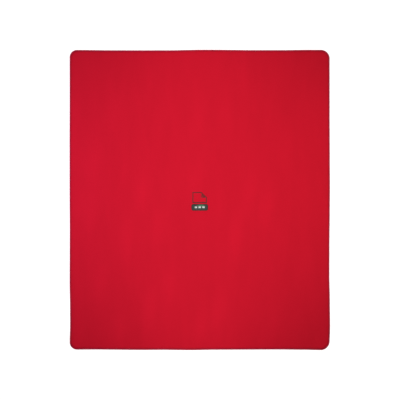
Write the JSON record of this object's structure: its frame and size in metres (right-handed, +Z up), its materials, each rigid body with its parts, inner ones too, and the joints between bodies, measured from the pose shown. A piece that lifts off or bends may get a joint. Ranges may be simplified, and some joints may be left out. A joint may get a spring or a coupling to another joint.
{
  "type": "fire blanket",
  "caption": "Flat red fire blanket with rounded corners, an overlocked edge and a small centre emblem; its side quarters fold over the middle.",
  "frame": {"origin": "on the surface it lies on, under the middle of the blanket's underside", "axes": "+X across the blanket towards its right edge, +Y along its length towards the head, +Z up out of the face with the emblem"},
  "size_m": [1.3, 1.5, 0.0055],
  "materials": {
    "red_felt": "matte brushed flame-retardant felt",
    "glass_cloth": "plain-woven glass fibre cloth",
    "edge_thread": "looped overlock thread, slight sheen",
    "needle_thread": "twisted sewing thread, slight sheen",
    "label_cloth": "fine woven label cloth",
    "label_border": "satin-stitched thread",
    "label_bars": "satin-stitched thread",
    "figure_thread": "satin-stitched thread"
  },
  "bodies": {
    "middle_panel": {"back_cover_middle": "red_felt", "fire_barrier_middle": "glass_cloth", "front_cover_middle": "red_felt", "edge_overlock_head": "edge_thread", "edge_overlock_foot": "edge_thread", "needle_thread_head": "needle_thread", "needle_thread_foot": "needle_thread", "label_cloth": "label_cloth", "label_border": "label_border", "label_bar_1": "label_bars", "label_bar_2": "label_bars", "label_bar_3": "label_bars", "figure_sheet": "figure_thread", "figure_turned_corner": "figure_thread"},
    "left_quarter": {"back_cover_left": "red_felt", "fire_barrier_left": "glass_cloth", "front_cover_left": "red_felt", "edge_overlock_left": "edge_thread", "needle_thread_left": "needle_thread"},
    "right_quarter": {"back_cover_right": "red_felt", "fire_barrier_right": "glass_cloth", "front_cover_right": "red_felt", "edge_overlock_right": "edge_thread", "needle_thread_right": "needle_thread"}
  },
  "joints": [
    {"name": "left_fold", "type": "hinge", "parent": "middle_panel", "child": "left_quarter", "pos_m": [-0.3275, 0, 0.0057], "axis": [0, 1, 0], "range_deg": [0, 179.5]},
    {"name": "right_fold", "type": "hinge", "parent": "middle_panel", "child": "right_quarter", "pos_m": [0.3275, 0, 0.0057], "axis": [0, -1, 0], "range_deg": [0, 179.5]}
  ]
}
